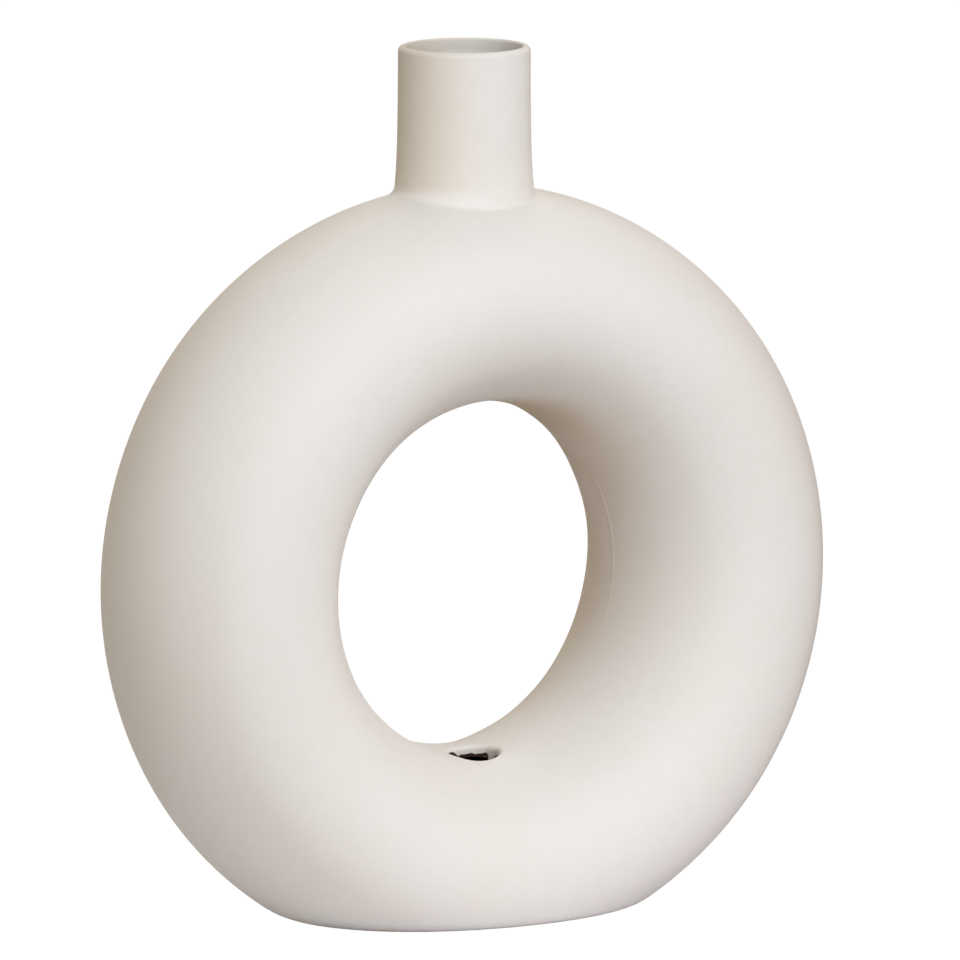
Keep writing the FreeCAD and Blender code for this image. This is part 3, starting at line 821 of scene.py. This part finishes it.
def make_lining_glaze():
    """The dark warm glaze inside: glossy, pooled darker and lighter, with a soft orange peel, and the
    white coat lapped over its top edge, with painted light that makes it lighter than the coat outside."""
    material, tree, shader = new_material("dark_lining_glaze")
    tone = effect(tree, SLOW_TONE, tone=DARK_GLAZE, other_tone=AMBER_GLAZE, patches_per_metre=60.0)["Color"]
    specks = effect(tree, SPECKS, cells_per_metre=260.0, size=0.09, share=0.25)["Mask"]
    tone = mixed(tree, sums(tree, "MULTIPLY", specks, GLAZE_SPECK_SHARE), tone, IRON)
    grain = effect(tree, FINE_GRAIN, grains_per_metre=320.0)
    height = node(tree, "ShaderNodeSeparateXYZ", {"Vector": object_place(tree)}).outputs["Z"]
    lap = effect(tree, RAGGED_EDGE, past_edge=sums(tree, "SUBTRACT", height, GLAZE_LINE), stray=3.0 * MM,
                 waves_per_metre=55.0, softness=0.15 * MM)["Mask"]
    feed(tree, shader.inputs["Base Color"], mixed(tree, lap, tone, PAINTED_LIGHT_LAPPED_COAT))
    gloss = blended(tree, grain["Hollows"], *GLAZE_ROUGHNESS)
    feed(tree, shader.inputs["Roughness"], blended(tree, lap, gloss, LAP_ROUGHNESS))
    bump = node(tree, "ShaderNodeBump", {"Strength": 0.25, "Distance": 0.1 * MM, "Height": grain["Height"]})
    feed(tree, shader.inputs["Normal"], bump.outputs["Normal"])
    return material


white_coat = make_white_coat()
lining_glaze = make_lining_glaze()
half_ring("front_half", "ring_front_half", front=True)
half_ring("back_half", "ring_back_half", front=False)
seam_band("outer_seam", "outer_seam_slip", outer_band_angles(), 0.0, closed=False)
seam_band("inner_seam", "inner_seam_slip", AROUND, math.pi, closed=True)
make_neck()
make_bead()
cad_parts["glaze_lining"].material_slots[0].material = lining_glaze

# The camera stands where the photograph was taken from, to the left of straight in front.
CAMERA_AZIMUTH = math.radians(30.67)
CAMERA_ELEVATION = math.radians(9.071)
CAMERA_DISTANCE = 5.82
AIM_RIGHT = 5.39 * MM
AIM_UP = 32.0 * MM
LENS = 635.4
CAMERA_REACH = 40.0
LIGHT_SIZE = 0.8
LIGHT_DISTANCE = 1.6

TOWARDS_FLAT = Vector((-math.sin(CAMERA_AZIMUTH), -math.cos(CAMERA_AZIMUTH), 0))
TOWARDS = TOWARDS_FLAT * math.cos(CAMERA_ELEVATION) + Vector((0, 0, math.sin(CAMERA_ELEVATION)))
RIGHT = TOWARDS_FLAT.cross(Vector((0, 0, -1)))
UP = TOWARDS.cross(RIGHT)
RING_CENTRE = Vector((0, 0, CENTRE_HEIGHT))


def place(name, data, location, target):
    """Puts a camera or a light in the scene, facing a point."""
    placed = bpy.data.objects.new(name, data)
    placed.location = location
    placed.rotation_euler = (target - location).to_track_quat("-Z", "Y").to_euler()
    bpy.context.scene.collection.objects.link(placed)
    return placed


def soft_light(name, azimuth, elevation, power, colour):
    """A large soft light that faces the vase, so many degrees right of the camera and up."""
    light = bpy.data.lights.new(name, "AREA")
    light.shape = "DISK"
    light.size = LIGHT_SIZE
    light.energy = power
    light.color = colour
    turn, rise = math.radians(azimuth), math.radians(elevation)
    level = RIGHT * math.sin(turn) + TOWARDS_FLAT * math.cos(turn)
    away = level * math.cos(rise) + Vector((0, 0, math.sin(rise)))
    place(name, light, RING_CENTRE + away * LIGHT_DISTANCE, RING_CENTRE)


# The floor throws light up round the foot, and less of it from further off. It lies just under the
# vase. A dim warm light comes from all round.
NEAR_FLOOR = 0.10
FAR_FLOOR = 0.34
NEAR_FLOOR_TONE = (0.72, 0.72, 0.76, 1)
FAR_FLOOR_TONE = (0.20, 0.19, 0.18, 1)
FLOOR_GLOW = 1.12
FLOOR_GLOW_SHARE = 0.9
FLOOR_REACH = 12.0
FLOOR_LEVEL = -0.05 * MM
SURROUNDING_TONE = (1.0, 0.77, 0.52, 1)
SURROUNDING_STRENGTH = 0.39


def make_floor():
    """A plain pale floor that the camera sees nearly white, with only a soft shadow."""
    material, tree, shader = new_material("pale_floor")
    away = node(tree, "ShaderNodeVectorMath", {0: object_place(tree)}, operation="LENGTH").outputs["Value"]
    tone = mixed(tree, ramped(tree, away, NEAR_FLOOR, FAR_FLOOR), NEAR_FLOOR_TONE, FAR_FLOOR_TONE)
    feed(tree, shader.inputs["Base Color"], tone)
    shader.inputs["Roughness"].default_value = 0.9
    glow = node(tree, "ShaderNodeEmission", {"Color": (1, 1, 1, 1), "Strength": FLOOR_GLOW})
    seen = node(tree, "ShaderNodeLightPath").outputs["Is Camera Ray"]
    share = sums(tree, "MULTIPLY", seen, FLOOR_GLOW_SHARE)
    surface = node(tree, "ShaderNodeMixShader", {0: share, 1: shader.outputs[0], 2: glow.outputs[0]})
    feed(tree, tree.nodes["Material Output"].inputs["Surface"], surface.outputs[0])
    mesh = bpy.data.meshes.new("floor")
    square = ((-1, -1), (1, -1), (1, 1), (-1, 1))
    corners = [(x * FLOOR_REACH, y * FLOOR_REACH, FLOOR_LEVEL) for x, y in square]
    mesh.from_pydata(corners, [], [(0, 1, 2, 3)])
    mesh.materials.append(material)
    floor = bpy.data.objects.new("floor", mesh)
    bpy.context.scene.collection.objects.link(floor)


def make_surroundings():
    """White behind the vase, and a dimmer warm light from all round it."""
    world = bpy.data.worlds.new("studio")
    world.use_nodes = True
    tree = world.node_tree
    behind = node(tree, "ShaderNodeBackground", {"Color": (1, 1, 1, 1), "Strength": 1.0})
    around = node(tree, "ShaderNodeBackground", {"Color": SURROUNDING_TONE, "Strength": SURROUNDING_STRENGTH})
    seen = node(tree, "ShaderNodeLightPath").outputs["Is Camera Ray"]
    surface = node(tree, "ShaderNodeMixShader", {0: seen, 1: around.outputs[0], 2: behind.outputs[0]})
    feed(tree, tree.nodes["World Output"].inputs["Surface"], surface.outputs[0])
    bpy.context.scene.world = world


lens = bpy.data.cameras.new("photo_camera")
lens.lens = LENS
lens.clip_end = CAMERA_REACH
bpy.context.scene.camera = place(
    "photo_camera",
    lens,
    RING_CENTRE + TOWARDS * CAMERA_DISTANCE,
    RING_CENTRE + RIGHT * AIM_RIGHT + UP * AIM_UP,
)
soft_light("key_light", azimuth=20, elevation=12, power=9.8, colour=(1.0, 0.97, 0.97))
soft_light("upper_light", azimuth=30, elevation=42, power=10.3, colour=(0.70, 0.84, 1.0))
soft_light("upper_left_light", azimuth=-40, elevation=42, power=2.5, colour=(0.2, 0.6, 1.0))
soft_light("left_light", azimuth=-60, elevation=12, power=4.2, colour=(1.0, 1.0, 0.95))
soft_light("right_light", azimuth=55, elevation=12, power=2.5, colour=(0.48, 0.67, 1.0))
soft_light("side_light", azimuth=95, elevation=12, power=1.6, colour=(1.0, 0.87, 0.81))
soft_light("back_left_light", azimuth=-140, elevation=15, power=1.6, colour=(1.0, 0.8, 0.6))
soft_light("back_light", azimuth=180, elevation=48, power=6.5, colour=(0.92, 0.96, 1.0))
make_floor()
make_surroundings()
bpy.context.scene.view_settings.view_transform = "Standard"
